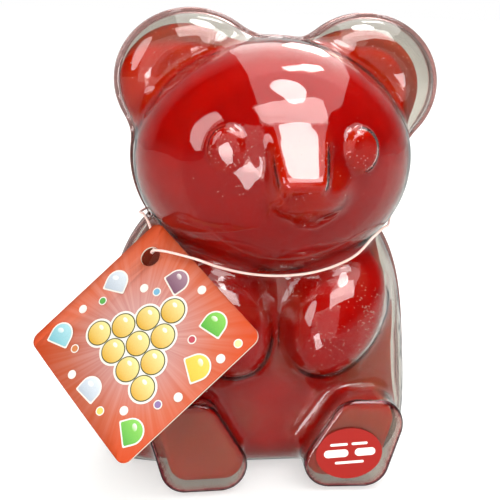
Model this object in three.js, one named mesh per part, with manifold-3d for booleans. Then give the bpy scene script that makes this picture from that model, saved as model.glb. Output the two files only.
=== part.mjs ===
// A large gummy bear sold in its mould: one soft sweet shut inside a clear, stiff plastic shell of two
// halves, with a square card tag on a thin elastic loop round the neck and a paper label on one foot.
//
// Units are millimetres and +Z is up. The bear sits on z = 0 and faces -Y, and the origin is close to the
// middle of the flat face it sits on. Every rounded form of the bear is described once, as the outside of
// the shell. The inside of the shell and the sweet are the same forms with each radius made smaller.
import * as THREE from 'three';
import { mergeVertices } from 'three/addons/utils/BufferGeometryUtils.js';
import Module from 'manifold-3d';

const wasm = await Module();
wasm.setup();

// ---------------------------------------------------------------- driving dimensions

const WALL = 0.6; // thickness of the clear shell
const CLEARANCE = 0.3; // free space between the shell and the sweet where it fills the shell
const SEAM_Y = -3; // the plane in which the two halves of the shell meet
const SEAM_GAP = 0.3; // the open line between the two halves
const RIM_PROUD = 0.8; // how far the joining rim stands out of the shell
const RIM_WIDTH = 1.5; // width of the rim on each half
const SWEET_FLOOR = 2.2; // height of the underside of the sweet over the floor

// The rounded forms. apart is the distance of a paired form from the middle of its pair, and middle is
// where that middle lies in X, because the mould isn't quite even. settle is how much smaller than its
// form the sweet has set, on top of the clearance.
const HEAD = { centre: [-1.2, -8, 83.8], radii: [36.5, 29, 30.7], settle: 0 };
const EAR = { middle: 0.5, apart: 22.9, y: -2, z: 102.9, radii: [19.2, 8.5, 17.6], power: 2.7, settle: 1.6 };
const EAR_DISH = { middle: 0.5, apart: 22.4, y: -12.5, z: 102.4, radii: [13, 4.8, 12], settle: 0 };
const NOSE = {
  centre: [0.3, -35.6, 85.2], radii: [6.9, 8.8, 6], power: 6,
  steep: 48, // degrees that the top of the nose slopes down from level
  taper: 0.018, // growth in width for each millimetre up the slope
  settle: 0,
};
const LIP = { centre: [2.8, -33.6, 79.6], radii: [9.6, 8.6, 6.6], settle: 0 };
const EYE = {
  middle: -0.3, apart: 16, y: -31.4, z: 89.4, radii: [4.9, 3.5, 5.8], power: 3.4,
  outward: 15, // degrees that the eye faces to its side
  up: 4, // degrees that it faces up
  settle: 0,
};
const ARM = {
  middle: -0.4, apart: 15.8, y: -19, z: 44.9, radii: [12.8, 11, 18.6],
  lean: 25, // degrees that the shoulder lies behind the paw
  spread: 32, // degrees that the shoulder lies outside the paw
  settle: 0.3,
};
const TORSO = {
  centre: [-3, -1, 30.6], radii: [41, 21.5, 44.7],
  power: 3.2, // roundness of the section: 2 is an ellipse and more is squarer
  widening: -0.0025, // growth in width for each millimetre of height
  chest: 0.006, // loss of depth for each millimetre over the centre
  tuck: 0.0031, // loss of depth at one millimetre below tuckFrom, growing with the square
  tuckFrom: 20, // distance under the centre
  settle: 1.5,
};
const LEG = {
  middle: -1.2, apart: 21.5, y: -18.6, z: 10.3,
  corners: [[-6.6, -3.4], [2.4, -3.4], [5.5, 6.8], [-0.2, 6.8]], // middles of the sole's round corners
  corner: 6.8, // radius of those corners
  halfLength: 14,
  edge: 1.2, // radius of the edge round the flat sole
  inward: 2.9, // degrees that the feet turn in
  rise: 2.3, // degrees that the toes point up
  settle: 1.1,
};

const TAG_SIDE = 44.45; // one and three quarter inches
const TAG_THICKNESS = 0.5;
const TAG_CORNER = 2.5;
const TAG_HOLE = { x: -15.5, z: 14.9, radius: 2.65 };
const TAG_CENTRE = [-36.7, -33.7, 43.2];
const TAG_TURN = [-39.9, 27.1, -55.3]; // degrees about X, then Y, then Z

const LOOP_RADIUS = 0.35;

const LABEL = { radii: [8.7, 6.9], thickness: 0.3, gap: 0.3, x: -1.9, z: -0.5, tilt: 4 };

// ---------------------------------------------------------------- helpers

const radians = THREE.MathUtils.degToRad;

/** A closed three.js geometry as a solid that can be joined and cut. */
function solid(geometry) {
  geometry.deleteAttribute('normal');
  geometry.deleteAttribute('uv');
  const merged = mergeVertices(geometry, 1e-4);
  return new wasm.Manifold(new wasm.Mesh({
    numProp: 3,
    vertProperties: Float32Array.from(merged.attributes.position.array),
    triVerts: Uint32Array.from(merged.index.array),
  }));
}

/** The solid as a geometry again. */
function geometryOf(body) {
  const mesh = body.getMesh();
  const geometry = new THREE.BufferGeometry();
  geometry.setAttribute('position', new THREE.BufferAttribute(Float32Array.from(mesh.vertProperties), 3));
  geometry.setIndex(new THREE.BufferAttribute(Uint32Array.from(mesh.triVerts), 1));
  geometry.computeVertexNormals();
  return geometry;
}

/** Moves every vertex of a geometry by a function from a Vector3 to itself. */
function reshape(geometry, move) {
  const position = geometry.attributes.position;
  const point = new THREE.Vector3();
  for (let i = 0; i < position.count; i += 1) {
    point.fromBufferAttribute(position, i);
    move(point);
    position.setXYZ(i, point.x, point.y, point.z);
  }
  return geometry;
}

/** How far a unit direction reaches to a superellipse or superellipsoid of that power. */
function reach(power, ...direction) {
  const sum = direction.reduce((total, part) => total + Math.abs(part) ** power, 0);
  return sum ** (-1 / power);
}

/** An axis-aligned block between two corners. */
function block(low, high) {
  const size = high.map((value, i) => value - low[i]);
  const geometry = new THREE.BoxGeometry(...size);
  geometry.translate(...low.map((value, i) => value + size[i] / 2));
  return solid(geometry);
}

/** An ellipsoid geometry about the origin, with its poles in front and behind. */
function ellipsoid(radii, grow, around, rings) {
  const geometry = new THREE.SphereGeometry(1, around, rings);
  return geometry.scale(...radii.map((radius) => radius + grow));
}

const union = (bodies) => bodies.reduce((whole, body) => whole.add(body));

// ---------------------------------------------------------------- the forms of the bear

// Each of these gives the form with its radii made larger by grow. Paired forms take side, which is
// 1 for the bear's left, at +X, and -1 for its right.

function head(grow) {
  return solid(ellipsoid(HEAD.radii, grow, 24, 14).translate(...HEAD.centre));
}

function ear(grow, side) {
  const lobe = reshape(new THREE.SphereGeometry(1, 18, 8).rotateX(radians(90)), (point) => {
    point.multiplyScalar(reach(EAR.power, Math.hypot(point.x, point.z), point.y));
  });
  lobe.scale(...EAR.radii.map((radius) => radius + grow));
  lobe.translate(EAR.middle + side * EAR.apart, EAR.y, EAR.z);
  const dish = ellipsoid(EAR_DISH.radii, -grow, 12, 8);
  dish.translate(EAR_DISH.middle + side * EAR_DISH.apart, EAR_DISH.y, EAR_DISH.z);
  return solid(lobe).subtract(solid(dish));
}

/** The wedge of the nose, whose flat top slopes from the forehead down to the tip. */
function nose(grow) {
  const form = reshape(new THREE.SphereGeometry(1, 10, 8), (point) => {
    point.multiplyScalar(reach(NOSE.power, point.x, point.y, point.z));
  });
  form.scale(...NOSE.radii.map((radius) => radius + grow));
  reshape(form, (point) => {
    point.x *= 1 + NOSE.taper * point.y;
  });
  return solid(form.rotateX(radians(NOSE.steep)).translate(...NOSE.centre));
}

function lip(grow) {
  return solid(ellipsoid(LIP.radii, grow, 12, 8).translate(...LIP.centre));
}

/** A low dome with a flat top, facing a little outwards and up. */
function eye(grow, side) {
  const bump = reshape(new THREE.SphereGeometry(1, 12, 6).rotateX(radians(90)), (point) => {
    point.multiplyScalar(reach(EYE.power, Math.hypot(point.x, point.z), point.y));
  });
  bump.scale(...EYE.radii.map((radius) => radius + grow));
  bump.rotateX(radians(-EYE.up));
  bump.rotateZ(radians(side * EYE.outward));
  return solid(bump.translate(EYE.middle + side * EYE.apart, EYE.y, EYE.z));
}

function arm(grow, side) {
  const form = ellipsoid(ARM.radii, grow, 14, 8);
  form.rotateX(radians(-ARM.lean));
  form.rotateY(radians(side * ARM.spread));
  return solid(form.translate(ARM.middle + side * ARM.apart, ARM.y, ARM.z));
}

function torso(grow) {
  const [width, depth, height] = TORSO.radii.map((radius) => radius + grow);
  const form = reshape(new THREE.SphereGeometry(1, 22, 12), (point) => {
    point.multiplyScalar(reach(TORSO.power, point.x, point.y, point.z));
    point.z *= height;
    point.x *= width * (1 + TORSO.widening * point.z);
    point.y *= depth * (1 - TORSO.chest * Math.max(point.z, 0));
    point.y *= 1 - TORSO.tuck * Math.min(Math.max(-point.z - TORSO.tuckFrom, 0), 12) ** 2;
  });
  return solid(form.translate(...TORSO.centre));
}

/** Turns what is drawn about the middle of a leg, with the sole at -Y, into its place on the bear. */
function placeOnLeg(geometry, side) {
  geometry.rotateZ(radians(-side * LEG.inward));
  geometry.rotateX(radians(-LEG.rise));
  return geometry.translate(LEG.middle + side * LEG.apart, LEG.y, LEG.z);
}

/** The outline of a sole, a polygon with round corners, seen from behind the foot. */
function soleOutline(radius, side) {
  const corners = LEG.corners.map(([x, z]) => [side * x, z]);
  if (side < 0) corners.reverse();
  const facing = corners.map(([x, z], i) => {
    const [nextX, nextZ] = corners[(i + 1) % corners.length];
    return Math.atan2(x - nextX, nextZ - z);
  });
  const outline = new THREE.Shape();
  corners.forEach(([x, z], i) => {
    const before = facing[(i + corners.length - 1) % corners.length];
    outline.absarc(x, z, radius, before, facing[i], false);
  });
  outline.closePath();
  return outline;
}

function leg(grow, side) {
  const half = LEG.halfLength + grow;
  const form = new THREE.ExtrudeGeometry(soleOutline(LEG.corner + grow, side), {
    depth: 2 * (half - LEG.edge), curveSegments: 5,
    bevelThickness: LEG.edge, bevelSize: LEG.edge, bevelOffset: -LEG.edge, bevelSegments: 2,
  });
  form.translate(0, 0, LEG.edge - half);
  form.rotateX(radians(90));
  return solid(placeOnLeg(form, side));
}

/** The whole bear with its forms made larger by grow, cut flat at the height floor. */
function bear(grow, floor, settled = 0) {
  const size = (form) => grow - settled * form.settle;
  const forms = [head(size(HEAD)), nose(size(NOSE)), lip(size(LIP)), torso(size(TORSO))];
  for (const side of [-1, 1]) {
    forms.push(ear(size(EAR), side), eye(size(EYE), side), arm(size(ARM), side), leg(size(LEG), side));
  }
  return union(forms).intersect(block([-90, -90, floor], [90, 90, 180]));
}

// ---------------------------------------------------------------- the pieces

/** One half of the shell, from the seam to far in Y, with its half of the joining rim. */
function shellHalf(outside, rimSize, inside, direction) {
  const start = SEAM_Y + direction * SEAM_GAP / 2;
  const slab = (depth) => {
    const end = start + direction * depth;
    return block([-90, Math.min(start, end), -10], [90, Math.max(start, end), 180]);
  };
  return outside.intersect(slab(90)).add(rimSize.intersect(slab(RIM_WIDTH))).subtract(inside);
}

function shell() {
  const outside = bear(0, 0);
  const rimSize = bear(RIM_PROUD, 0);
  const inside = bear(-WALL, WALL);
  return {
    front: shellHalf(outside, rimSize, inside, -1),
    back: shellHalf(outside, rimSize, inside, 1),
  };
}

/** The card tag, drawn flat in X and Z with its printed face at -Y, then hung in its place. */
function tag() {
  const half = TAG_SIDE / 2;
  const straight = half - TAG_CORNER;
  const outline = new THREE.Shape();
  [[1, 1, 0], [-1, 1, 90], [-1, -1, 180], [1, -1, 270]].forEach(([x, z, start]) => {
    outline.absarc(x * straight, z * straight, TAG_CORNER, radians(start), radians(start + 90), false);
  });
  outline.closePath();
  const hole = new THREE.Path();
  hole.absarc(TAG_HOLE.x, TAG_HOLE.z, TAG_HOLE.radius, 0, 2 * Math.PI, true);
  outline.holes.push(hole);
  const card = new THREE.ExtrudeGeometry(outline, {
    depth: TAG_THICKNESS, bevelEnabled: false, curveSegments: 5,
  });
  card.translate(0, 0, -TAG_THICKNESS / 2);
  card.rotateX(radians(90));
  card.rotateX(radians(TAG_TURN[0]));
  card.rotateY(radians(TAG_TURN[1]));
  card.rotateZ(radians(TAG_TURN[2]));
  return solid(card.translate(...TAG_CENTRE));
}

// The middle of the elastic: out of the hole in the tag, over its face and in front of the chest to the
// groove under the head, round the back of the neck, and down behind the corner of the tag to the hole.
const LOOP_ROUTE = [
  [-33.3, -20.8, 61.3], [-33.1, -21.8, 62], [-31.9, -23, 62.4], [-28.9, -24.8, 62.3],
  [-23.1, -28.6, 61.6], [-17.4, -27.9, 59.4], [-11.5, -27.1, 57.7], [-5.4, -26.4, 56.7],
  [0.7, -26, 56.5], [6.9, -25.9, 57.2], [12.8, -25.8, 58.9], [18.3, -25.7, 61.8],
  [22.5, -25, 66.1], [26.2, -21.2, 67.7], [29, -15.8, 67.3], [31, -9.9, 67.6],
  [32.7, -4, 68], [31, 1.9, 68.4], [27.2, 7, 68.5], [22.4, 10.7, 67.8],
  [16.8, 13.1, 66.9], [10.9, 14.7, 66], [4.8, 15.8, 65.3], [-1.4, 16, 65.1],
  [-7.5, 15.6, 65.3], [-13.6, 14.6, 65.8], [-19.6, 13.4, 66.8], [-25.3, 11.2, 68],
  [-30.4, 7.5, 68.8], [-33.6, 1.4, 68.1], [-35.5, -4.4, 68.2], [-34.8, -10.3, 68.8],
  [-33.5, -14.3, 66.7], [-32.7, -17.5, 63.1], [-32.6, -18.5, 62], [-32.8, -19.6, 61.3],
];

function loop() {
  const points = LOOP_ROUTE.map((point) => new THREE.Vector3(...point));
  const route = new THREE.CatmullRomCurve3(points, true);
  return solid(new THREE.TubeGeometry(route, 72, LOOP_RADIUS, 6, true));
}

/** The oval paper label, stuck to the middle of the sole of the bear's left foot. */
function label() {
  const outline = new THREE.Shape();
  outline.absellipse(0, 0, ...LABEL.radii, 0, 2 * Math.PI, false, radians(LABEL.tilt));
  const paper = new THREE.ExtrudeGeometry(outline, {
    depth: LABEL.thickness, bevelEnabled: false, curveSegments: 16,
  });
  paper.rotateX(radians(90));
  paper.translate(LABEL.x, -LEG.halfLength - LABEL.gap, LABEL.z);
  return solid(placeOnLeg(paper, 1));
}

// ---------------------------------------------------------------- the object

const clear = { color: 0xe6ebe6, roughness: 0.08, metalness: 0, transparent: true, opacity: 0.35 };
const halves = shell();
const pieces = [
  ['gummy_bear', bear(-WALL - CLEARANCE, SWEET_FLOOR, 1), { color: 0xa81610, roughness: 0.25 }],
  ['shell_front', halves.front, clear],
  ['shell_back', halves.back, clear],
  ['hang_tag', tag(), { color: 0xe2604a, roughness: 0.4 }],
  ['tag_loop', loop(), { color: 0xf0d8d0, roughness: 0.6 }],
  ['foot_label', label(), { color: 0xc83223, roughness: 0.45 }],
];

const object = new THREE.Group();
for (const [name, body, finish] of pieces) {
  const mesh = new THREE.Mesh(geometryOf(body), new THREE.MeshStandardMaterial(finish));
  mesh.name = name;
  object.add(mesh);
}

export default object;
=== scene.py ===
"""A large gummy bear sold in its mould: one red gelatine sweet shut in a clear, stiff, bear-shaped shell of
two halves, with a square printed tag on a thin elastic loop round the neck and an oval label on one foot.

Lengths are in millimetres up to the point where a mesh is made, and MM turns them to metres. +Z is up, the
bear faces -Y, and z = 0 is what it sits on. Every rounded form of the bear is one term of a signed distance,
so the shell, its inside and the sweet are all drawn from the same forms.
"""

import math

import bmesh
import bpy
import numpy as np
from mathutils import Matrix, Vector


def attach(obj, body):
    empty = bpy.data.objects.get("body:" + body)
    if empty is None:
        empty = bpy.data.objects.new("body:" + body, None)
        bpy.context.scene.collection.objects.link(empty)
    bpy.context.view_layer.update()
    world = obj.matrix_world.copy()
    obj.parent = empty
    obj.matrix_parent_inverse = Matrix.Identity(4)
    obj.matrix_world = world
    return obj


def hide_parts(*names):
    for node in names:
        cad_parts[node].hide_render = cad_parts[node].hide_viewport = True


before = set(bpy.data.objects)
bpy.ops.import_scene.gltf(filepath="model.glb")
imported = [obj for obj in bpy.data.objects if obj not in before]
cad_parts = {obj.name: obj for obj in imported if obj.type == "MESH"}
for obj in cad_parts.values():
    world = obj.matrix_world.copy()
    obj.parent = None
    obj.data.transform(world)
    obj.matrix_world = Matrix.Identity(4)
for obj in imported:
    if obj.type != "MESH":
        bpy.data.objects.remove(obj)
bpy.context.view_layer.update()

MM = 0.001

# ---------------------------------------------------------------- sizes of the bear

CELL = 0.8  # spacing of the points on the shell and the sweet
GRID_LOW = (-46.4, -48, -1.6)  # the box in which the points are spaced, a little larger than the bear
GRID_HIGH = (46, 24, 124)
WALL = 0.55  # thickness of the clear sheet
CONTACT = 0.08  # space that is left between the sheet and the sweet where they touch
SEAM_Y = -3  # the plane in which the two halves meet
SEAM_GAP = 0.24
RIM_WIDTH = 1.5  # of each half's joining rim
RIM_PROUD = 0.9  # how far the rim stands out of the shell
RIM_ROUND = 0.3  # radius of the rim's edges

# The rounded forms. A paired form is given for the bear's left, with its X counted from middle, which is the
# X of the middle of the pair. power is how square a form is: 2 is an ellipsoid and more is squarer. settle is
# how much smaller than its form the sweet has set.
HEAD = {"centre": (-1.2, -8, 83.8), "radii": (36.5, 29, 30.7), "settle": (0, 0, 0)}
EAR = {"middle": 0.5, "centre": (22.9, -2, 102.9), "radii": (19.2, 8.5, 17.6), "power": 2.7, "settle": 1.9}
EAR_DISH = {"middle": 0.5, "centre": (22.4, -12.5, 102.4), "radii": (13, 4.8, 12), "settle": (0, 0, 0)}
NOSE = {
    "centre": (0.3, -35.6, 85.2), "radii": (6.9, 8.8, 6), "power": 6,
    "steep": 48,  # degrees that the top of the nose slopes down from level
    "taper": 0.018,  # growth in width for each millimetre up the slope
}
LIP = {"centre": (2.8, -33.6, 79.6), "radii": (9.6, 8.6, 6.6), "settle": (0, 0, 0)}
EYE = {
    "middle": -0.3, "centre": (16, -31.4, 89.4), "radii": (4.9, 3.5, 5.8), "power": 3.4,
    "outward": 15,  # degrees that the eye faces to its side
    "up": 4,  # degrees that it faces up
}
ARM = {
    "middle": -0.4, "centre": (15.8, -19, 44.9), "radii": (12.8, 11, 18.6), "settle": (0.2, 0.2, 0.2),
    "lean": 25,  # degrees that the shoulder lies behind the paw
    "spread": 32,  # degrees that the shoulder lies outside the paw
}
TORSO = {
    "centre": (-3, -1, 30.6), "radii": (41, 21.5, 44.7), "power": 3.2, "settle": (1.8, 0.3, 0.3),
    "widening": -0.0025,  # growth in width for each millimetre of height
    "chest": 0.006,  # loss of depth for each millimetre over the centre
    "tuck": 0.0031,  # loss of depth at one millimetre below tuck_from, growing with the square
    "tuck_from": 20,  # distance under the centre
    "tuck_reach": 12,  # how far down the tuck goes on growing
}
LEG = {
    "middle": -1.2, "centre": (21.5, -18.6, 10.3),
    "corners": ((-6.6, -3.4), (2.4, -3.4), (5.5, 6.8), (-0.2, 6.8)),  # middles of the sole's round corners
    "corner": 6.8,  # radius of those corners
    "half": 14,  # half the length of the leg
    "edge": 1.2,  # radius of the edge round the flat sole
    "inward": 2.9,  # degrees that the feet turn in
    "rise": 2.3,  # degrees that the toes point up
    "settle": 1,
    "softer": 1.6,  # how much rounder that edge is on the shrunk sweet
}

SWEET_SHIFT = (-0.9, 0, -0.2)  # the shrunk body lies a little towards the bear's right
EARS_SHIFT = (-2.0, 0, -0.9)  # as do the ears
FEET_SHIFT = (-0.8, 0.7, 0.9)  # and the feet inwards, back and up
SWEET_FLOOR = 1  # height of the sweet's underside
SWEET_FLOOR_EDGE = 2.5  # radius of the edge round it
FLOOR_EDGE = 0.8  # radius of the edge round the shell's flat underside
DISH_EDGE = 0.8  # radius of the edge of the ears' dishes

NECK_FOLD = 2.5  # radii of the fillets between the forms
EAR_FOLD = 4.2
ARM_FOLD = 6
LEG_FOLD = 4
LIP_FOLD = 5
NOSE_FOLD = 2.4
EYE_FOLD = 1.2

# ---------------------------------------------------------------- sizes of the tag, its loop and the label

TAG_SIDE = 44.45  # one and three quarter inches
TAG_THICKNESS = 0.5
TAG_CORNER = 2.5
TAG_HOLE = {"x": -15.5, "z": 14.9, "radius": 2.65}
TAG_CENTRE = (-36.7, -33.7, 43.2)
TAG_TURN = (-39.9, 27.1, -55.3)  # degrees about X, then Y, then Z
TAG_BOW = 0.7  # how far the card's right and left edges curl back
TAG_BOW_SHARE = 0.4  # how much of that its other two edges do
TAG_RAYS = 26  # rays of light in the printed ground, all round

# The print. Inks are sRGB, and where a shape has two they are its lower and its upper end.
INK_THICKNESS = 0.03  # of one printed layer, thick enough to lie clear of the one below
INK_CLEAR = 0.005  # space under each layer
BORDER_INKS = ("d5d0c5", "ddd8d0")
BALL_INKS = ("c29109", "d6cc86")
BALL_LINE = "40461a"
BALL_LINE_WIDTH = 0.28
BALL_SHINE_INKS = ("ddd5b4", "dddbd3")
BALL_SHINE = (-0.8, 1.3, 0.8, 0.5)  # the pale spot on a ball: its x, z and radii
DROP_SHINE_INK = "dddbd3"
DROP_SHINE = (-0.14, 0.16, 0.17, 0.11)  # that on a gumdrop, as shares of the gumdrop's size
DROP_FOOT = 0.42  # share of the size that a gumdrop's foot lies under its middle
DROP_BEVEL = (0.4, 0.2)  # width and height of the cut corners of the foot
BALL_BORDER = 0.85  # widths of the pale borders
DROP_BORDER = 0.4
DOT_BORDER = 0.3
BALL_RADIUS = 3
BALL_SPACING = 6.6
HEAP_X = 1
HEAP_ROWS = ((4, -7), (3, -1.2), (2, 4.6), (1, 10.4))  # how many balls lie in each row, and its z
GUMDROPS = [  # x, z, size, degrees that it leans and its two inks
    (16.8, 6.2, 6, -24, "c2a60c", "d0be44"), (11.4, 16, 5.6, 14, "409621", "78bb44"),
    (-16.8, 4.4, 5.6, 30, "9fa9b4", "c7ced3"), (-4.4, 16, 5.4, -10, "6a4057", "987583"),
    (-16.6, -14.8, 5.8, 24, "67a6b0", "9bc5ca"), (17.2, -15.4, 5.8, -30, "409621", "78bb44"),
    (1, -17, 5.4, 6, "9fa9b4", "c7ced3"),
]
DOT_RADIUS = 0.85
DOTS = [  # x, z and ink
    (-9.6, 8.6, "ddd3cc"), (-6.2, 10.4, "679fbb"), (19.2, 11.6, "ddd3cc"), (10.4, 9.4, "ad3344"),
    (19, -1.8, "ddd3cc"), (16.8, -6.6, "7c6091"), (11.8, -13.8, "ddd3cc"), (7.4, -18.4, "d0bb52"),
    (-5.6, -18.6, "ddd3cc"), (-10.6, -14.2, "bb6e36"), (-17.8, -6.6, "ddd3cc"), (-15.4, -1.4, "4b983d"),
    (2.2, 19, "ddd3cc"), (19.4, 17, "d0c98a"),
]

LOOP_RADIUS = 0.33
LOOP_ROUTE = [
    (-33.3, -20.8, 61.3), (-33.1, -21.8, 62), (-31.9, -23, 62.4), (-28.9, -24.8, 62.3),
    (-23.1, -28.6, 61.6), (-17.4, -27.9, 59.4), (-11.5, -27.1, 57.7), (-5.4, -26.4, 56.7),
    (0.7, -26, 56.5), (6.9, -25.9, 57.2), (12.8, -25.8, 58.9), (18.3, -25.7, 61.8),
    (22.5, -25, 66.1), (26.2, -21.2, 67.7), (29, -15.8, 67.3), (31, -9.9, 67.6),
    (32.7, -4, 68), (31, 1.9, 68.4), (27.2, 7, 68.5), (22.4, 10.7, 67.8),
    (16.8, 13.1, 66.9), (10.9, 14.7, 66), (4.8, 15.8, 65.3), (-1.4, 16, 65.1),
    (-7.5, 15.6, 65.3), (-13.6, 14.6, 65.8), (-19.6, 13.4, 66.8), (-25.3, 11.2, 68),
    (-30.4, 7.5, 68.8), (-33.6, 1.4, 68.1), (-35.5, -4.4, 68.2), (-34.8, -10.3, 68.8),
    (-33.5, -14.3, 66.7), (-32.7, -17.5, 63.1), (-32.6, -18.5, 62), (-32.8, -19.6, 61.3),
]

LABEL = {"radii": (8.7, 6.9), "thickness": 0.25, "gap": 0.08, "x": -1.9, "z": -0.5, "tilt": 4}
LABEL_INK = "fbeee8"
LABEL_BARS = [  # x, z, length and height of the pale printed bars
    (-2.6, 2.6, 4.6, 0.7), (2.8, 2.6, 4.2, 0.7), (-3.4, 0.2, 6.4, 2.1), (4.2, 0.2, 5.4, 2.1),
    (0, -2.4, 7.6, 0.7),
]


def turn(axis, degrees):
    return np.array(Matrix.Rotation(math.radians(degrees), 3, axis))


EYE_LIE = turn("Z", EYE["outward"]) @ turn("X", -EYE["up"])
ARM_LIE = turn("Y", ARM["spread"]) @ turn("X", -ARM["lean"])
LEG_LIE = turn("X", -LEG["rise"]) @ turn("Z", -LEG["inward"])
TAG_LIE = turn("Z", TAG_TURN[2]) @ turn("Y", TAG_TURN[1]) @ turn("X", TAG_TURN[0])

# ---------------------------------------------------------------- the camera, placed first to judge by

ORBIT_MIDDLE = (0, SEAM_Y, 57.3)  # the azimuth, elevation and distance are counted from here
CAMERA = {"azimuth": -10, "elevation": 14, "distance": 282, "roll": 2, "lens": 74.2}
CAMERA_AIM = (-5.4, -2, 57.1)


def make_camera():
    azimuth, elevation = math.radians(CAMERA["azimuth"]), math.radians(CAMERA["elevation"])
    level_part = math.cos(elevation)
    back = Vector((math.sin(azimuth) * level_part, -math.cos(azimuth) * level_part, math.sin(elevation)))
    data = bpy.data.cameras.new("Camera")
    data.lens = CAMERA["lens"]
    camera = bpy.data.objects.new("Camera", data)
    camera.location = (Vector(ORBIT_MIDDLE) + back * CAMERA["distance"]) * MM
    view = (camera.location - Vector(CAMERA_AIM) * MM).normalized()
    level = Vector((0, 0, 1)).cross(view).normalized()
    upward = view.cross(level)
    facing = Matrix((level, upward, view)).transposed()
    camera.rotation_euler = (facing @ Matrix.Rotation(math.radians(CAMERA["roll"]), 3, "Z")).to_euler()
    bpy.context.scene.collection.objects.link(camera)
    bpy.context.scene.camera = camera


make_camera()

# ---------------------------------------------------------------- signed distances of the forms


def rounded(points, radii, power=2.0):
    """Distance to an ellipse or ellipsoid about the origin, or with power over 2 to a squarer one."""
    share = np.abs(points) / radii
    size = np.maximum((share ** power).sum(1) ** (1 / power), 1e-9)
    slope = size ** (1 - power) * np.sqrt(((share ** (power - 1) / radii) ** 2).sum(1))
    return (size - 1) / np.maximum(slope, 1e-9)


def join(a, b, fold):
    """Both forms together, with a fillet where they meet."""
    mix = np.clip(0.5 + 0.5 * (b - a) / fold, 0, 1)
    return b + (a - b) * mix - fold * mix * (1 - mix)


def cut(a, b, edge):
    """The first form without what lies outside the second, with a round edge."""
    return -join(-a, -b, edge)


def one_side(points, form):
    """The points with the bear's right side folded onto its left, and X counted from the pair's middle."""
    folded = points - (form["middle"], 0, 0)
    folded[:, 0] = np.abs(folded[:, 0])
    return folded


def set_radii(form, settled):
    return np.array(form["radii"]) - settled * np.array(form["settle"])


def ball(points, form, settled):
    return rounded(points - form["centre"], set_radii(form, settled))


def coin(local, form, shrunk=0.0):
    """A flat-topped dome or lobe: round as seen along Y, and of squarer section."""
    wide, deep, high = form["radii"]
    section = np.stack([np.hypot(local[:, 0], local[:, 2] * wide / high), local[:, 1]], 1)
    return rounded(section, np.array((wide - shrunk, deep)), form["power"])


def nose(points):
    """The wedge of the nose, whose flat face slopes from the forehead down to the tip."""
    local = (points - NOSE["centre"]) @ turn("X", NOSE["steep"])
    local[:, 0] /= 1 + NOSE["taper"] * local[:, 1]
    return rounded(local, np.array(NOSE["radii"]), NOSE["power"])


def eyes(points):
    """The eyes are low, flat-topped domes that face a little outwards and up."""
    return coin((one_side(points, EYE) - EYE["centre"]) @ EYE_LIE, EYE)


def ears(points, settled):
    """Flat lobes, each with a shallow dish in front."""
    local = one_side(points - settled * np.array(EARS_SHIFT), EAR) - EAR["centre"]
    dishes = ball(one_side(points, EAR_DISH), EAR_DISH, settled)
    return cut(coin(local, EAR, settled * EAR["settle"]), -dishes, DISH_EDGE)


def arms(points, settled):
    return rounded((one_side(points, ARM) - ARM["centre"]) @ ARM_LIE, set_radii(ARM, settled))


def torso(points, settled):
    """A squarish body that narrows upwards, with a sloping chest and a tucked-in foot."""
    local = points - TORSO["centre"]
    local[:, 0] /= 1 + TORSO["widening"] * local[:, 2]
    local[:, 1] /= 1 - TORSO["chest"] * np.clip(local[:, 2], 0, None)
    local[:, 1] /= 1 - TORSO["tuck"] * np.clip(-local[:, 2] - TORSO["tuck_from"], 0, TORSO["tuck_reach"]) ** 2
    return rounded(local, set_radii(TORSO, settled), TORSO["power"])


def from_sole(flat, radius):
    """Distance in the plane of a sole to its outline, a polygon whose corners are round."""
    corners = np.array(LEG["corners"])
    inside = np.full(len(flat), -1e9)
    outside = np.full(len(flat), 1e9)
    for start, end in zip(corners, np.roll(corners, -1, 0)):
        along = end - start
        away = np.array((along[1], -along[0])) / np.linalg.norm(along)
        share = np.clip((flat - start) @ along / (along @ along), 0, 1)
        outside = np.minimum(outside, np.linalg.norm(flat - start - share[:, None] * along, axis=1))
        inside = np.maximum(inside, (flat - start) @ away)
    return np.where(inside < 0, inside, outside) - radius


def legs(points, settled):
    """Straight legs with flat soles."""
    shift = settled * np.array(FEET_SHIFT)
    local = (one_side(points, LEG) - LEG["centre"] - shift) @ LEG_LIE
    edge = LEG["edge"] + settled * LEG["softer"]
    around = from_sole(local[:, [0, 2]], LEG["corner"] - settled * LEG["settle"]) + edge
    along = np.abs(local[:, 1]) - LEG["half"] + edge
    outside = np.hypot(np.maximum(around, 0), np.maximum(along, 0))
    return outside + np.minimum(np.maximum(around, along), 0) - edge


def bear(points, settled=0.0):
    """Distance to the outside of the whole bear, or with settled at 1 to the forms of the shrunk sweet."""
    moved = points - settled * np.array(SWEET_SHIFT)
    whole = join(ball(points, HEAD, settled), torso(moved, settled), NECK_FOLD)
    whole = join(whole, ears(points, settled), EAR_FOLD)
    whole = join(whole, arms(points, settled), ARM_FOLD)
    whole = join(whole, legs(points, settled), LEG_FOLD)
    whole = join(whole, ball(points, LIP, settled), LIP_FOLD)
    whole = join(whole, nose(points), NOSE_FOLD)
    return join(whole, eyes(points), EYE_FOLD)


def shell_outside(points):
    return cut(bear(points), -points[:, 2], FLOOR_EDGE)


def sweet_outside(points):
    """The sweet touches the sheet at the front and has shrunk away from it at the ears, sides and feet."""
    body = np.maximum(bear(points, 1), bear(points)) + WALL + CONTACT
    return cut(body, SWEET_FLOOR - points[:, 2], SWEET_FLOOR_EDGE)


# ---------------------------------------------------------------- meshes from distances


def slope_of(distance, points, step=0.02):
    """The direction in which a distance grows, at each point."""
    sides = [distance(points + shift) - distance(points - shift) for shift in np.eye(3) * step]
    return np.stack(sides, 1) / (2 * step)


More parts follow.
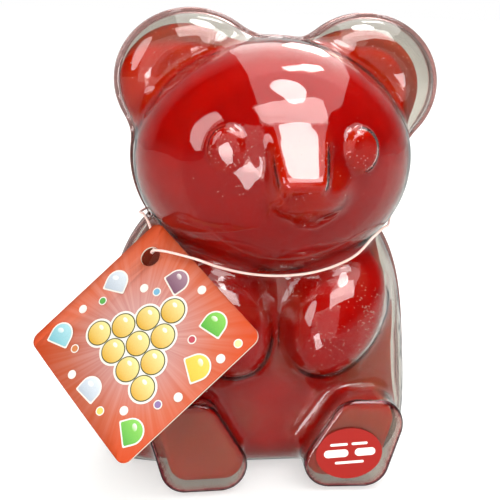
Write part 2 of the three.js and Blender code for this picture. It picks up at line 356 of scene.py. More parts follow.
def settle_on(distance, points, level=0.0, rounds=3, held=None):
    """Moves points along the slope until they lie on a level of a distance. Those in held keep their Y."""
    for _ in range(rounds):
        slope = slope_of(distance, points)
        if held is not None:
            slope[held, 1] = 0
        steep = np.maximum((slope ** 2).sum(1), 0.05)
        points = points - ((distance(points) - level) / steep)[:, None] * slope
    return points


def even_out(points, quads):
    """Each point moved to the middle of its neighbours."""
    total = np.zeros_like(points)
    count = np.zeros(len(points))
    for i in range(4):
        np.add.at(total, quads[:, i], points[quads[:, (i + 1) % 4]] + points[quads[:, i - 1]])
        np.add.at(count, quads[:, i], 2)
    return total / count[:, None]


def skin(distance):
    """The closed surface of a distance as even quads: one point for each grid cell that it crosses."""
    axes = [np.arange(a, b + CELL, CELL) for a, b in zip(GRID_LOW, GRID_HIGH)]
    grid = np.stack(np.meshgrid(*axes, indexing="ij"), -1)
    shape = grid.shape[:3]
    value = distance(grid.reshape(-1, 3)).reshape(shape)
    cells = np.full(shape, -1)
    total = np.zeros((*shape, 3))
    count = np.zeros(shape)
    edges = []
    for axis in range(3):
        here = tuple(slice(0, -1) if k == axis else slice(None) for k in range(3))
        there = tuple(slice(1, None) if k == axis else slice(None) for k in range(3))
        start, end = value[here], value[there]
        found = np.argwhere((start < 0) != (end < 0))
        a, b = start[tuple(found.T)], end[tuple(found.T)]
        crossing = grid[tuple(found.T)].copy()
        crossing[:, axis] += CELL * a / (a - b)
        u, v = np.eye(3, dtype=int)[(axis + 1) % 3], np.eye(3, dtype=int)[(axis + 2) % 3]
        around = [found, found - u, found - u - v, found - v]
        for corner in around:
            np.add.at(total, tuple(corner.T), crossing)
            np.add.at(count, tuple(corner.T), 1)
        edges.append((around, a < 0))
    used = count > 0
    cells[used] = np.arange(used.sum())
    points = total[used] / count[used][:, None]
    quads = []
    for around, outward in edges:
        quad = np.stack([cells[tuple(corner.T)] for corner in around], 1)
        quads.append(np.where(outward[:, None], quad, quad[:, ::-1]))
    quads = np.concatenate(quads)
    for _ in range(3):
        points = settle_on(distance, even_out(points, quads), rounds=2)
    return points, quads


def mesh_of(name, points, faces):
    """A smooth Blender mesh of points in millimetres."""
    mesh = bpy.data.meshes.new(name)
    mesh.from_pydata((np.asarray(points) * MM).tolist(), [], [list(map(int, face)) for face in faces])
    mesh.shade_smooth()
    mesh.update()
    return mesh


def write_values(mesh, **values):
    """Numbers for a material to read at each point of a mesh."""
    for name, value in values.items():
        mesh.attributes.new(name, "FLOAT", "POINT").data.foreach_set("value", value.astype(np.float32))


def piece(name, data, node, materials):
    """A mesh or curve as one piece of the bear, in its finish and in place of a plain solid."""
    thing = bpy.data.objects.new(name, data)
    bpy.context.scene.collection.objects.link(thing)
    for material in materials:
        data.materials.append(material)
    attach(thing, "root")
    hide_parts(node)
    return thing


# ---------------------------------------------------------------- materials

COLOURS = {"data_type": "RGBA"}  # a Mix node for colours, from input 6 to input 7 by the share in input 0
COLOURS_TIMES = {"data_type": "RGBA", "blend_type": "MULTIPLY"}


def linear(code):
    """An sRGB hex colour as linear red, green, blue and alpha."""
    parts = [int(code[i:i + 2], 16) / 255 for i in (0, 2, 4)]
    return (*[c / 12.92 if c <= 0.04045 else ((c + 0.055) / 1.055) ** 2.4 for c in parts], 1)


def every(size):
    """The scale of a pattern whose patches are that many millimetres across."""
    return 1 / (size * MM)


def add(owner, kind, settings=None, **links):
    """Adds a node to a material or world. settings are its properties and links its sockets, by name or with
    _N by number. A value that is a node stands for the first of its outputs in use."""
    node = owner.node_tree.nodes.new(kind)
    for name, value in (settings or {}).items():
        setattr(node, name, value)
    for name, value in links.items():
        socket = node.inputs[int(name[1:])] if name[0] == "_" else node.inputs[name.replace("_", " ")]
        if isinstance(value, bpy.types.Node):
            value = next(output for output in value.outputs if output.enabled)
        if isinstance(value, bpy.types.NodeSocket):
            owner.node_tree.links.new(value, socket)
        else:
            socket.default_value = value
    return node


def new_material(name):
    """An empty material, and the place at which its patterns are read."""
    material = bpy.data.materials.new(name)
    material.use_nodes = True
    material.node_tree.nodes.clear()
    return material, add(material, "ShaderNodeTexCoord").outputs["Object"]


def finish_with(material, shader):
    add(material, "ShaderNodeOutputMaterial", Surface=shader)
    return material


def cast_gelatine():
    """Gelatine cast in its mould. Where it clings to the sheet it looks deep and glossy, and where it has
    shrunk away its dull skin shows paler. Where it is thin the first turns a painted orange, as if lit
    through from behind, and the second maroon."""
    material, where = new_material("CastGelatine")
    touch = add(material, "ShaderNodeAttribute", {"attribute_name": "touch"}).outputs["Fac"]
    thin = add(material, "ShaderNodeAttribute", {"attribute_name": "thin"}).outputs["Fac"]
    cloud = add(material, "ShaderNodeTexNoise", Vector=where, Scale=every(7), Detail=3.0)
    pores = add(material, "ShaderNodeTexNoise", Vector=where, Scale=every(0.9), Detail=3.0)
    # painted light: the deep red turns orange where the sweet is thin, as if lit through from behind
    deep = add(material, "ShaderNodeMix", COLOURS, _0=thin, _6=linear("d20c04"), _7=linear("f04c10"))
    uneven = add(material, "ShaderNodeMapRange", _0=cloud, _1=0.35, _2=0.7, _3=0.0, _4=0.35)
    deep = add(material, "ShaderNodeMix", COLOURS, _0=uneven, _6=deep, _7=linear("a80a08"))
    dull = add(material, "ShaderNodeMix", COLOURS, _0=cloud, _6=linear("b85242"), _7=linear("c86854"))
    dull = add(material, "ShaderNodeMix", COLOURS, _0=thin, _6=dull, _7=linear("702014"))
    colour = add(material, "ShaderNodeMix", COLOURS, _0=touch, _6=dull, _7=deep)
    rough = add(material, "ShaderNodeMapRange", _0=touch, _3=0.5, _4=0.22)
    dips = add(material, "ShaderNodeBump", Strength=0.5, Distance=0.03 * MM, Height=pores)
    shader = add(
        material, "ShaderNodeBsdfPrincipled", Base_Color=colour, Roughness=rough, IOR=1.5,
        Specular_IOR_Level=0.12, Subsurface_Weight=1.0, Subsurface_Radius=(1.0, 0.12, 0.06),
        Subsurface_Scale=0.008, Normal=dips,
    )
    return finish_with(material, shader)


def formed_clear_sheet():
    """Clear sheet drawn over a mould. It is slightly uneven, which bends what it mirrors, and at its rim and
    along the soles' edges it is coloured with painted red, standing for the sweet's red seen through its
    thick edges."""
    material, where = new_material("ThermoformedClearSheet")
    edge = add(material, "ShaderNodeAttribute", {"attribute_name": "edge"}).outputs["Fac"]
    # painted refraction: the colour runs from the sheet's own pale colour to pink at the rim and maroon at
    # the soles' edges, for the sweet's red seen through the sheet
    painted_edge_tint = add(material, "ShaderNodeValToRGB", _0=edge)
    stops = painted_edge_tint.color_ramp.elements
    stops[0].color = linear("dedbd4")
    stops[1].color = linear("8c1424")
    stops.new(0.5).color = linear("d6a8a4")
    wave = add(material, "ShaderNodeTexNoise", Vector=where, Scale=every(14))
    dips = add(material, "ShaderNodeBump", Distance=0.35 * MM, Height=wave)
    shader = add(
        material, "ShaderNodeBsdfPrincipled", Base_Color=painted_edge_tint, Roughness=0.02, IOR=1.5,
        Transmission_Weight=1.0, Normal=dips,
    )
    return finish_with(material, shader)


def crushed_rim():
    """The rim where the two halves were pressed together. The sheet is strained there and a little milky, and
    its dusty pink is painted, standing for the sweet's red seen through the rim.
    """
    material, where = new_material("PressedSheetRim")
    strain = add(material, "ShaderNodeTexNoise", Vector=where, Scale=every(1.2), Detail=3.0)
    # painted refraction: dusty pink for the sweet's red seen through the rim
    colour = add(material, "ShaderNodeMix", COLOURS, _0=strain, _6=linear("d8b4ae"), _7=linear("b88c88"))
    dips = add(material, "ShaderNodeBump", Strength=0.5, Distance=0.03 * MM, Height=strain)
    shader = add(
        material, "ShaderNodeBsdfPrincipled", Base_Color=colour, Roughness=0.12, IOR=1.5,
        Transmission_Weight=0.75, Normal=dips,
    )
    return finish_with(material, shader)


def printed_card():
    """Coated card printed with rays of light from its middle, pale rose there and orange red at its edges."""
    material, where = new_material("CoatedPrintedCard")
    place = add(material, "ShaderNodeAttribute", {"attribute_name": "place"}).outputs["Vector"]
    parts = add(material, "ShaderNodeSeparateXYZ", Vector=place)
    across, up = parts.outputs["X"], parts.outputs["Z"]
    angle = add(material, "ShaderNodeMath", {"operation": "ARCTAN2"}, _0=up, _1=across)
    around = add(material, "ShaderNodeMath", {"operation": "MULTIPLY"}, _0=angle, _1=TAG_RAYS / 2 / math.pi)
    beams = add(
        material, "ShaderNodeTexNoise", {"noise_dimensions": "1D"}, W=around, Scale=2.2, Detail=2.0,
        Roughness=0.7,
    )
    beam = add(material, "ShaderNodeMapRange", _0=beams, _1=0.35, _2=0.65)
    far = add(material, "ShaderNodeVectorMath", {"operation": "LENGTH"}, _0=place)
    outward = add(material, "ShaderNodeMapRange", _0=far, _1=0.0, _2=TAG_SIDE * 0.68)
    ground = add(material, "ShaderNodeValToRGB", _0=outward)
    stops = ground.color_ramp.elements
    stops[0].color = linear("b08c8c")
    stops[1].color = linear("bc3c02")
    stops.new(0.35).color = linear("b07870")
    stops.new(0.66).color = linear("b8583a")
    paler = add(material, "ShaderNodeMapRange", _0=far, _1=TAG_SIDE * 0.6, _2=4.0, _3=0.04, _4=0.34)
    share = add(material, "ShaderNodeMath", {"operation": "MULTIPLY"}, _0=beam, _1=paler)
    colour = add(material, "ShaderNodeMix", COLOURS, _0=share, _6=ground, _7=linear("d4b0a4"))
    grain = add(material, "ShaderNodeTexNoise", Vector=where, Scale=every(0.25))
    dips = add(material, "ShaderNodeBump", Strength=0.3, Distance=0.01 * MM, Height=grain)
    shader = add(
        material, "ShaderNodeBsdfPrincipled", Base_Color=colour, Roughness=0.5, IOR=1.5,
        Specular_IOR_Level=0.12, Normal=dips,
    )
    return finish_with(material, shader)


def bare_card(name, code):
    """Uncoated card, with the soft fibres of its pulp."""
    material, where = new_material(name)
    fibre = add(material, "ShaderNodeTexNoise", Vector=where, Scale=every(0.4), Detail=4.0, Roughness=0.7)
    colour = add(material, "ShaderNodeMix", COLOURS_TIMES, _0=fibre, _6=linear(code), _7=linear("d8d2c4"))
    dips = add(material, "ShaderNodeBump", Strength=0.5, Distance=0.03 * MM, Height=fibre)
    shader = add(
        material, "ShaderNodeBsdfPrincipled", Base_Color=colour, Roughness=0.85, IOR=1.5, Normal=dips,
    )
    return finish_with(material, shader)


def varnished_paper():
    """Thin paper printed red, with a light varnish that leaves its fibres just visible."""
    material, where = new_material("VarnishedLabelPaper")
    fibre = add(material, "ShaderNodeTexNoise", Vector=where, Scale=every(0.5), Detail=4.0, Roughness=0.7)
    colour = add(material, "ShaderNodeMix", COLOURS, _0=fibre, _6=linear("a8180c"), _7=linear("981810"))
    dips = add(material, "ShaderNodeBump", Strength=0.5, Distance=0.012 * MM, Height=fibre)
    shader = add(
        material, "ShaderNodeBsdfPrincipled", Base_Color=colour, Roughness=0.45, IOR=1.5,
        Specular_IOR_Level=0.3, Normal=dips,
    )
    return finish_with(material, shader)


def offset_ink():
    """Ink in the colour of each printed shape, with a faint grain where it lies on the card."""
    material, where = new_material("OffsetInk")
    ink = add(material, "ShaderNodeVertexColor", {"layer_name": "ink"}).outputs["Color"]
    grain = add(material, "ShaderNodeTexNoise", Vector=where, Scale=every(0.3))
    share = add(material, "ShaderNodeMapRange", _0=grain, _1=0.4, _2=0.8, _3=0.0, _4=0.25)
    colour = add(material, "ShaderNodeMix", COLOURS_TIMES, _0=share, _6=ink, _7=linear("d8c8b8"))
    shader = add(material, "ShaderNodeBsdfPrincipled", Base_Color=colour, Roughness=0.4, IOR=1.5)
    return finish_with(material, shader)


def drawn_elastic():
    """A thin round elastic with a faint lengthwise grain, slightly see-through at its edges."""
    material, where = new_material("DrawnElastic")
    grain = add(material, "ShaderNodeTexNoise", Vector=where, Scale=every(0.6), Detail=3.0)
    colour = add(material, "ShaderNodeMix", COLOURS, _0=grain, _6=linear("f6dcd4"), _7=linear("e8b8ac"))
    dips = add(material, "ShaderNodeBump", Strength=0.6, Distance=0.03 * MM, Height=grain)
    shader = add(
        material, "ShaderNodeBsdfPrincipled", Base_Color=colour, Roughness=0.35, IOR=1.5,
        Subsurface_Weight=0.4, Subsurface_Radius=(1.0, 0.5, 0.4), Subsurface_Scale=0.0004, Normal=dips,
    )
    return finish_with(material, shader)


def trapped_air():
    """Tiny bubbles just under the skin of the sweet. Their pale rose colour is a painted highlight, for the
    light that they mirror.
    """
    material, where = new_material("TrappedAir")
    cloud = add(material, "ShaderNodeTexNoise", Vector=where, Scale=every(1.5))
    # painted highlight: pale rose for the light the bubbles mirror
    colour = add(material, "ShaderNodeMix", COLOURS, _0=cloud, _6=linear("e08878"), _7=linear("f4ccc0"))
    shader = add(material, "ShaderNodeBsdfPrincipled", Base_Color=colour, Roughness=0.15, IOR=1.35)
    return finish_with(material, shader)


def backdrop_paper():
    """White paper for the floor, lit a little from within so that it meets the background without a line."""
    material, where = new_material("BackdropPaper")
    fibre = add(material, "ShaderNodeTexNoise", Vector=where, Scale=every(2))
    colour = add(material, "ShaderNodeMix", COLOURS, _0=fibre, _6=linear("cacac8"), _7=linear("c6c6c4"))
    shader = add(
        material, "ShaderNodeBsdfPrincipled", Base_Color=colour, Roughness=0.9, Specular_IOR_Level=0.0,
        Emission_Color=(1, 1, 1, 1), Emission_Strength=0.5,
    )
    return finish_with(material, shader)


# ---------------------------------------------------------------- the sweet

CLING_GAPS = (0.3, 0.65)  # the sweet clings to the sheet up to the first gap, and has let go at the second
PATCH_SIZE = 9  # of the patches in which it clings or has let go
PATCH_DEPTH = 0.2  # how much the gap seems to vary between them
BACK_CLING = 0.3  # how much smaller the gap seems on the flat back
BACK_FROM = (8, 15)  # the back begins at the first Y and is whole from the second
THIN_DEPTH = 10  # the sweet looks thin where its far side lies within this depth, and its deep red is painted orange there as light shining through
THIN_HEIGHTS = (60, 85)  # and only on the head, from the first height on and fully over the second

# where bubbles gathered under the skin: the middle, the spread each way and how many
BUBBLES = [
    ((24, -30, 49), (5, 3, 6), 120), ((12, -32, 41), (4, 3, 4), 60), ((-16, -36, 89), (4.5, 2, 5), 110),
    ((0, -42, 89), (7, 2, 5), 70), ((17, -36, 89), (4, 2, 5), 40), ((-24, -8, 109), (8, 3, 6), 60),
    ((28, -8, 109), (8, 3, 6), 60), ((5, -22, 52), (8, 3, 2), 40), ((0, 12, 37), (22, 8, 26), 120),
]
BUBBLE_RADII = (0.1, 0.24)


def ramp(values, start, end):
    """0 up to the start, 1 from the end on, and even in between."""
    return np.clip((values - start) / (end - start), 0, 1)


def patches(points):
    """An even, cloudy pattern from -1 to 1: four sine waves across each other."""
    waves = (((1, 0.4, 0.2), 0.7), ((-0.3, 1, 0.5), 2.1), ((0.2, -0.6, 1), 4.4), ((0.8, 0.7, -0.5), 5.3))
    turns = [points @ np.array(along) * (math.pi / PATCH_SIZE) + start for along, start in waves]
    return sum(np.sin(angle) for angle in turns) / len(waves)


def make_sweet():
    points, quads = skin(sweet_outside)
    mesh = mesh_of("Sweet", points, quads)
    gap = -(shell_outside(points) + WALL) - BACK_CLING * ramp(points[:, 1], *BACK_FROM)
    touch = 1 - ramp(gap + PATCH_DEPTH * patches(points), *CLING_GAPS)
    inward = slope_of(sweet_outside, points)
    inward /= np.linalg.norm(inward, axis=1)[:, None]
    # thin marks where the sweet's far side is near, which the material paints orange as light shining through
    thin = 1 - ramp(-sweet_outside(points - THIN_DEPTH * inward), 0, THIN_DEPTH)
    thin *= ramp(points[:, 2], *THIN_HEIGHTS)
    write_values(mesh, touch=touch, thin=thin)
    piece("Sweet", mesh, "gummy_bear", [cast_gelatine()])


def make_bubbles():
    """Small domes on the skin of the sweet, joined in one mesh."""
    draw = np.random.default_rng(7)
    centres = np.concatenate([draw.normal(middle, spread, (count, 3)) for middle, spread, count in BUBBLES])
    centres = settle_on(sweet_outside, centres, 0, rounds=8)
    centres = centres[np.abs(sweet_outside(centres)) < 0.05]
    radii = draw.uniform(*BUBBLE_RADII, len(centres)) * draw.uniform(0.6, 1, len(centres))
    sphere = bmesh.new()
    bmesh.ops.create_icosphere(sphere, subdivisions=1, radius=1)
    shape = np.array([v.co for v in sphere.verts])
    faces = np.array([[v.index for v in f.verts] for f in sphere.faces])
    sphere.free()
    points = centres[:, None] + shape[None] * radii[:, None, None]
    corners = faces[None] + (np.arange(len(centres)) * len(shape))[:, None, None]
    mesh = mesh_of("Bubbles", points.reshape(-1, 3), corners.reshape(-1, 3))
    piece("Bubbles", mesh, "gummy_bear", [trapped_air()])


# ---------------------------------------------------------------- the shell

RIM_END = SEAM_GAP / 2 + RIM_WIDTH  # distance of the rim's outer side from the seam
# Painted red on the sheet, for the sweet's red that its thick edges show: at the rim and round the soles.
RIM_PAINTED_RED = 0.5  # how much painted red, standing for the sweet seen through the sheet, colours the rim
RIM_PAINTED_RED_FADE = 0.6
SOLE_PAINTED_RED_REACH = (0.9, 1.4)  # all of it shows this near to a sole's edge, and none this far off
SOLE_PAINTED_RED_INSET = 0.7  # nor farther than this inside the sole's outline
SOLE_PAINTED_RED_OFF = 0.3  # nor where the leg's own form lies this far from the shell
SOLE_FACE_PAINTED_RED = 0.3  # and this much in a band round the flat of the sole
SOLE_FACE_BAND = 1.9
SHARP_FROM = 50  # degrees between faces that meet in a sharp edge


def rim_height(away):
    """How far the rim stands out of the shell, by the distance from the seam."""
    def round_off(inset):
        short = np.clip(RIM_ROUND - inset, 0, None)
        return RIM_ROUND - np.sqrt(np.clip(RIM_ROUND ** 2 - short ** 2, 0, None))

    inner = np.clip(away - SEAM_GAP / 2, 0, None)
    outer = np.clip(RIM_END - away, 0, None)
    return np.where(outer > 0, RIM_PROUD - round_off(inner) - np.minimum(round_off(outer), RIM_PROUD), 0)


def painted_edge_red(points, away):
    """How much painted red colours the sheet, standing for the sweet's red seen through its thick edges: some
    at the rim and all along the soles' edges.
    """
    rim = RIM_PAINTED_RED * (1 - ramp(away, RIM_END, RIM_END + RIM_PAINTED_RED_FADE))
    local = (one_side(points, LEG) - LEG["centre"]) @ LEG_LIE
    around = from_sole(local[:, [0, 2]], LEG["corner"])
    ahead = local[:, 1] + LEG["half"]
    sole = 1 - ramp(np.hypot(around, ahead), *SOLE_PAINTED_RED_REACH)
    sole *= (around > -SOLE_PAINTED_RED_INSET) & (np.abs(shell_outside(points)) < SOLE_PAINTED_RED_OFF)
    face = SOLE_FACE_PAINTED_RED * (ahead < LEG["edge"]) * (around > -SOLE_FACE_BAND)
    return np.maximum(np.maximum(rim, face), sole)


def make_shell_half(name, node, points, quads, direction, materials):
    """One half: the outer skin cut at the seam with its rim drawn out of it, and the inner skin behind it."""
    start = SEAM_Y + direction * SEAM_GAP / 2
    body = bmesh.new()
    body.from_mesh(mesh_of(name, points, quads))
    rows = (0, RIM_ROUND * 0.3, RIM_ROUND, RIM_WIDTH - RIM_ROUND, RIM_WIDTH - RIM_ROUND * 0.3, RIM_WIDTH)
    for row in rows:
        bmesh.ops.bisect_plane(
            body, geom=[*body.verts, *body.edges, *body.faces], dist=1e-6,
            plane_co=(0, (start + direction * row) * MM, 0), plane_no=(0, direction, 0), clear_inner=row == 0,
        )
    body.verts.index_update()
    outer = np.array([v.co for v in body.verts]) / MM
    faces = [[v.index for v in f.verts] for f in body.faces]
    open_edges = [
        (loop.vert.index, loop.link_loop_next.vert.index)
        for edge in body.edges if edge.is_boundary for loop in edge.link_loops
    ]
    body.free()
    held = np.abs(outer[:, 1] - start) < 1e-3
    outer = settle_on(shell_outside, outer, 0, held=held, rounds=2)
    inner = settle_on(shell_outside, outer, -WALL, held=held)
    away = np.abs(outer[:, 1] - SEAM_Y)
    # painted red at the rim and the soles' edges, passed on as the edge value
    painted_red = painted_edge_red(outer, away)
    outward = slope_of(shell_outside, outer)
    outward[:, 1] = 0
    outward /= np.maximum(np.linalg.norm(outward, axis=1), 1e-6)[:, None]
    outer = outer + rim_height(away)[:, None] * outward
    outer[:, 2] = np.maximum(outer[:, 2], 0)
    n = len(outer)
    faces += [[i + n for i in reversed(face)] for face in faces]
    faces += [[b, a, a + n, b + n] for a, b in open_edges]
    mesh = mesh_of(name, np.concatenate([outer, inner]), faces)
    mesh.set_sharp_from_angle(angle=math.radians(SHARP_FROM))
    write_values(mesh, edge=np.concatenate([painted_red, painted_red]))
    on_rim = np.concatenate([away, away]) < RIM_END + 0.01
    for face in mesh.polygons:
        face.material_index = int(all(on_rim[i] for i in face.vertices))
    piece(name, mesh, node, materials)


def make_shell():
    points, quads = skin(shell_outside)
    finishes = [formed_clear_sheet(), crushed_rim()]
    make_shell_half("ClearHalfFront", "shell_front", points, quads, -1, finishes)
    make_shell_half("ClearHalfBack", "shell_back", points, quads, 1, finishes)


make_sweet()
make_bubbles()
make_shell()

# ---------------------------------------------------------------- flat outlines, as lists of x and z


def arc(x, z, radius, start, end, steps, squash=1.0):
    angles = [math.radians(start + (end - start) * k / steps) for k in range(steps + 1)]
    return [(x + radius * math.cos(a), z + radius * squash * math.sin(a)) for a in angles]


def oval(x, z, across, up, steps=32):
    return arc(x, z, across, 0, 360, steps, up / across)[:-1]


def bar(x, z, length, height, corner=None):
    """A bar with round corners, or with round ends where no corner is given."""
    corner = corner or height / 2
    outline = []
    for start, side, end in ((0, 1, 1), (90, -1, 1), (180, -1, -1), (270, 1, -1)):
        middle = x + side * (length / 2 - corner), z + end * (height / 2 - corner)
        outline += arc(*middle, corner, start, start + 90, 6)
    return outline


def gumdrop(x, z, size, grow=0.0):
    """A round dome on a flat foot."""
    half = size / 2 + grow
    foot = z - size * DROP_FOOT - grow
    across, up = DROP_BEVEL
    return [(x + half, foot + up), *arc(x, z, half, 0, 180, 14), (x - half, foot + up),
            (x - half + across, foot), (x + half - across, foot)]


def shine(x, z, spot, size=1):
    """A pale spot on a printed ball or gumdrop."""
    aside, above, across, up = (size * part for part in spot)
    return oval(x + aside, z + above, across, up, 12)


def turned(outline, degrees, x, z):
    c, s = math.cos(math.radians(degrees)), math.sin(math.radians(degrees))
    return [(x + (a - x) * c - (b - z) * s, z + (a - x) * s + (b - z) * c) for a, b in outline]


# ---------------------------------------------------------------- the tag, the loop and the label


def on_tag(x, z, lift=0.0):
    """A place on or over the tag's printed face, from its place on the card before it bowed a little."""
    bow = TAG_BOW * (x * x + TAG_BOW_SHARE * z * z) / (TAG_SIDE / 2) ** 2
    return TAG_LIE @ np.array([x, -TAG_THICKNESS / 2 - lift + bow, z]) + TAG_CENTRE


def on_label(x, z, lift=0.0):
    """A place on or over the label's printed face."""
    tilt = math.radians(LABEL["tilt"])
    x, z = x * math.cos(tilt) - z * math.sin(tilt), x * math.sin(tilt) + z * math.cos(tilt)
    depth = LEG["half"] + LABEL["gap"] + LABEL["thickness"] + lift
    centre = np.array(LEG["centre"]) + (LEG["middle"], 0, 0)
    return LEG_LIE @ (LABEL["x"] + x, -depth, LABEL["z"] + z) + centre


def sheet_face(name, outlines, place, step=2.0):
    """The printed face of a sheet between a ring and its holes, cut into strips so that it can bow. Each of
    its points keeps its place on the flat sheet for the print."""
    body = bmesh.new()
    edges = []
    for ring in outlines:
        verts = [body.verts.new((x, 0, z)) for x, z in ring]
        edges += [body.edges.new((verts[i - 1], verts[i])) for i in range(len(verts))]
    bmesh.ops.triangle_fill(body, use_beauty=True, edges=edges, normal=(0, -1, 0))
    low, high = min(x for x, z in outlines[0]), max(x for x, z in outlines[0])
    for cut_at in np.arange(low + step, high, step):
        bmesh.ops.bisect_plane(
            body, geom=[*body.verts, *body.edges, *body.faces], plane_co=(cut_at, 0, 0), plane_no=(1, 0, 0),
        )
    bmesh.ops.recalc_face_normals(body, faces=body.faces)
    if sum(f.normal.y * f.calc_area() for f in body.faces) > 0:
        bmesh.ops.reverse_faces(body, faces=body.faces)
    places = np.array([(v.co.x, 0, v.co.z) for v in body.verts], np.float32)
    for v in body.verts:
        v.co = Vector(place(v.co.x, v.co.z)) * MM
    mesh = bpy.data.meshes.new(name)
    body.to_mesh(mesh)
    body.free()
    mesh.attributes.new("place", "FLOAT_VECTOR", "POINT").data.foreach_set("vector", places.ravel())
    return mesh


def thicken(thing, thickness):
    """Gives a sheet its thickness, behind its printed face."""
    thick = thing.modifiers.new("Thickness", "SOLIDIFY")
    thick.thickness = thickness * MM
    thick.offset = -1
    return thick


def make_tag():
    hole = oval(TAG_HOLE["x"], TAG_HOLE["z"], TAG_HOLE["radius"], TAG_HOLE["radius"], 40)
    mesh = sheet_face("TagCard", [bar(0, 0, TAG_SIDE, TAG_SIDE, TAG_CORNER), hole], on_tag)
    mesh.shade_smooth()
    finishes = [printed_card(), bare_card("BareCardBack", "f0ece2"), bare_card("CutCardEdge", "e8ddd0")]
    thick = thicken(piece("TagCard", mesh, "hang_tag", finishes), TAG_THICKNESS)
    thick.material_offset = 1
    thick.material_offset_rim = 2


def make_print(name, shapes, place, node):
    """Printed shapes as one mesh of thin prisms. Each has its outline, lower and upper ink and layer."""
    body = bmesh.new()
    ink = body.verts.layers.float_color.new("ink")
    for outline, below, above, layer in shapes:
        heights = [z for x, z in outline]
        low, high = min(heights), max(heights)
        middle = np.mean(outline, axis=0)
        dark, light = np.array(linear(below)), np.array(linear(above))
        rings = []
        for lift in (INK_THICKNESS * layer, INK_THICKNESS * (layer - 1) + INK_CLEAR):
            ring = []
            for x, z in [*outline, tuple(middle)]:
                vert = body.verts.new(Vector(place(x, z, lift)) * MM)
                vert[ink] = dark + (light - dark) * (z - low) / max(high - low, 1e-6)
                ring.append(vert)
            rings.append(ring)
        top, foot = rings
        n = len(outline)
        for i in range(n):
            j = (i + 1) % n
            body.faces.new((top[i], top[j], top[n]))
            body.faces.new((foot[j], foot[i], foot[n]))
            body.faces.new((top[j], top[i], foot[i], foot[j]))
    mesh = bpy.data.meshes.new(name)
    body.to_mesh(mesh)
    body.free()
    piece(name, mesh, node, [offset_ink()])


def disc(x, z, radius, steps=32):
    """A disc as a function of how much it grows."""
    return lambda grow: oval(x, z, radius + grow, radius + grow, steps)


def leaning_drop(x, z, size, lean):
    """A gumdrop as a function of how much it grows."""
    return lambda grow: turned(gumdrop(x, z, size, grow), lean, x, z)


def sticker(outlines, inks, border, line=None):
    """Printed shapes on a pale border, with a thin dark line round them where one is given. Each outline is a
    function of how much it grows."""
    shapes = [(outline(border), *BORDER_INKS, 1) for outline in outlines]
    if line:
        shapes += [(outline(BALL_LINE_WIDTH), line, line, 2) for outline in outlines]
    return shapes + [(outline(0.0), *inks, 3) for outline in outlines]


def make_tag_print():
    """A heap of golden balls, gumdrops in other colours round it, and small dots strewn between them."""
    balls = [(BALL_SPACING * (k - (n - 1) / 2) + HEAP_X, z) for n, z in HEAP_ROWS for k in range(n)]
    shapes = sticker([disc(x, z, BALL_RADIUS) for x, z in balls], BALL_INKS, BALL_BORDER, BALL_LINE)
    shapes += [(shine(x, z, BALL_SHINE), *BALL_SHINE_INKS, 4) for x, z in balls]
    for x, z, size, lean, *inks in GUMDROPS:
        shapes += sticker([leaning_drop(x, z, size, lean)], inks, DROP_BORDER)
        spot = turned(shine(x, z, DROP_SHINE, size), lean, x, z)
        shapes.append((spot, inks[1], DROP_SHINE_INK, 4))
    for x, z, ink in DOTS:
        shapes += sticker([disc(x, z, DOT_RADIUS, 14)], (ink, ink), DOT_BORDER)
    make_print("TagPrint", shapes, on_tag, "hang_tag")


def make_loop():
    """The elastic, one closed round cord through the points of its route."""
    data = bpy.data.curves.new("TagLoop", "CURVE")
    data.dimensions = "3D"
    data.bevel_depth = LOOP_RADIUS * MM
    data.bevel_resolution = 3
    data.resolution_u = 8
    spline = data.splines.new("BEZIER")
    n = len(LOOP_ROUTE)
    spline.bezier_points.add(n - 1)
    for i, point in enumerate(spline.bezier_points):
        here, before, after = (Vector(LOOP_ROUTE[k % n]) * MM for k in (i, i - 1, i + 1))
        pull = (after - before) / 6
        point.co = here
        point.handle_left = here - pull
        point.handle_right = here + pull
    spline.use_cyclic_u = True
    piece("TagLoop", data, "tag_loop", [drawn_elastic()])


def make_label():
    mesh = sheet_face("FootLabel", [oval(0, 0, *LABEL["radii"], 72)], on_label)
    thicken(piece("FootLabel", mesh, "foot_label", [varnished_paper()]), LABEL["thickness"])
    shapes = [(bar(x, z, length, height), LABEL_INK, LABEL_INK, 1) for x, z, length, height in LABEL_BARS]
    make_print("LabelPrint", shapes, on_label, "foot_label")


make_tag()
make_tag_print()
make_loop()
make_label()

# ---------------------------------------------------------------- floor, background and lights, in metres

FLOOR_REACH = 6.0
FLOOR_DROP = 0.0002  # the floor lies this far under the bear
# how bright gloss sees the studio, by the height of the direction: floor, horizon and dark ceiling
SURROUNDINGS = (
    (-0.98, 0.05), (-0.75, 0.12), (-0.45, 0.3), (-0.1, 0.3), (0.06, 0.2), (0.18, 0.02), (0.98, 0.01),
)
SIDEWAYS = (0.4, 1.15)  # what that is multiplied by, from straight to the left to straight to the right
BACKDROP = (0.3, 0.9)  # directions this far back begin to see the white backdrop, and see only it
BACKDROP_SHADE = 0.6
INNER_SHADE = 0.7  # what gloss sees in gloss


def make_floor():
    data = bpy.data.meshes.new("Floor")
    corners = [(x * FLOOR_REACH, y * FLOOR_REACH, 0) for x, y in ((-1, -1), (1, -1), (1, 1), (-1, 1))]
    data.from_pydata(corners, [], [(0, 1, 2, 3)])
    floor = bpy.data.objects.new("Floor", data)
    bpy.context.scene.collection.objects.link(floor)
    data.materials.append(backdrop_paper())
    floor.location.z = -FLOOR_DROP
    floor.visible_glossy = False


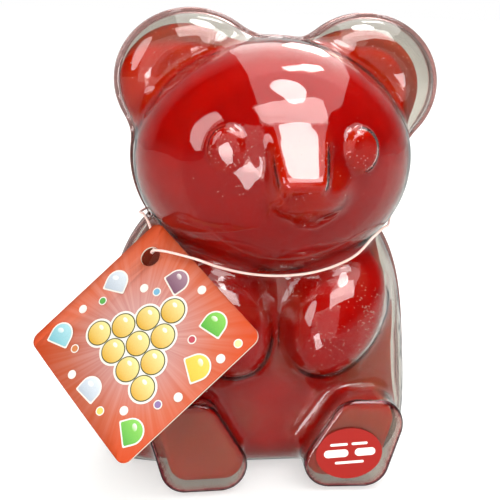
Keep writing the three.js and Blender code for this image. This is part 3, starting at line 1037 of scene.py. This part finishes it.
def make_surroundings():
    """White all round. Gloss sees it as a real studio: a white backdrop behind, and in front a floor that
    grows paler to the right under a dark ceiling."""
    world = bpy.data.worlds.new("Studio")
    bpy.context.scene.world = world
    world.use_nodes = True
    world.node_tree.nodes.clear()
    where = add(world, "ShaderNodeTexCoord").outputs["Generated"]
    parts = add(world, "ShaderNodeSeparateXYZ", Vector=where)
    height = add(world, "ShaderNodeMapRange", _0=parts.outputs["Z"], _1=-1, _2=1)
    room = add(world, "ShaderNodeValToRGB", _0=height)
    stops = room.color_ramp.elements
    for place, shade in SURROUNDINGS:
        stops.new((place + 1) / 2).color = (shade, shade, shade, 1)
    stops.remove(stops[0])
    stops.remove(stops[-1])
    left, right = SIDEWAYS
    side = add(world, "ShaderNodeMapRange", _0=parts.outputs["X"], _1=-1, _2=1, _3=left, _4=right)
    ahead = add(world, "ShaderNodeMath", {"operation": "MULTIPLY"}, _0=room, _1=side)
    start, end = BACKDROP
    behind = {"_1": start, "_2": end, "_3": ahead, "_4": BACKDROP_SHADE}
    mirrored = add(world, "ShaderNodeMapRange", _0=parts.outputs["Y"], **behind)
    depth = add(world, "ShaderNodeLightPath").outputs["Glossy Depth"]
    once = add(world, "ShaderNodeMapRange", _0=depth, _1=0, _2=1, _3=1.0, _4=mirrored)
    level = add(world, "ShaderNodeMapRange", _0=depth, _1=1, _2=2, _3=once, _4=INNER_SHADE)
    background = add(world, "ShaderNodeBackground", Color=(1, 1, 1, 1), Strength=level)
    add(world, "ShaderNodeOutputWorld", Surface=background)
    bpy.context.scene.view_settings.view_transform = "Standard"


def make_light(
    name, place, size, radiance, shape="RECTANGLE", aim=(0, 0, 0.07), spin=0, lights_up=True, mirrored=True,
):
    """A soft panel that faces the bear. radiance is how bright it looks, where white paper in full light is
    1. lights_up is off for panels that only give highlights, and mirrored for those that only light up."""
    data = bpy.data.lights.new(name, "AREA")
    data.shape = shape
    data.size, data.size_y = size
    area = size[0] * size[1] * (math.pi / 4 if shape == "ELLIPSE" else 1)
    data.energy = radiance * math.pi * area
    light = bpy.data.objects.new(name, data)
    light.location = place
    facing = (Vector(place) - Vector(aim)).to_track_quat("Z", "Y")
    light.rotation_euler = (facing.to_matrix() @ Matrix.Rotation(math.radians(spin), 3, "Z")).to_euler()
    light.visible_camera = False
    light.visible_diffuse = lights_up
    light.visible_glossy = mirrored
    bpy.context.scene.collection.objects.link(light)


make_floor()
make_surroundings()
# a long box over the bear's left, which whitens half of the brow
make_light("Overhead", (0.265, 0.2, 0.85), (0.83, 2.0), 1.7, aim=(0.265, 0.2, 0))
# small panels for the bright spots on the brow and the sloping top of the nose
make_light("Bar", (0.235, 0.13, 0.82), (0.29, 0.1), 12, aim=(0.235, 0.13, 0), spin=29, lights_up=False)
bulb = (0.13, -0.31, 0.82)
make_light("Bulb", bulb, (0.26, 0.44), 12, "ELLIPSE", aim=(*bulb[:2], 0), spin=30, lights_up=False)
make_light("Brow", (0.17, -0.58, 0.7), (0.68, 0.36), 5.5, lights_up=False)
# one behind for the upper edges, and one low in front for the cheek under the eye
make_light("Back", (0.38, 0.95, 0.8), (0.3, 0.3), 8, lights_up=False)
make_light("Window", (-0.28, -0.8, -0.05), (0.2, 0.4), 10, spin=25, lights_up=False)
# an even light from the front, which isn't mirrored, and a round one for the temple
make_light("Front", (-0.25, -1.1, 0.3), (1.2, 1.0), 2.5, mirrored=False)
make_light("Left", (-0.6, -0.43, 0.42), (0.36, 0.54), 4.5, "ELLIPSE", lights_up=False)
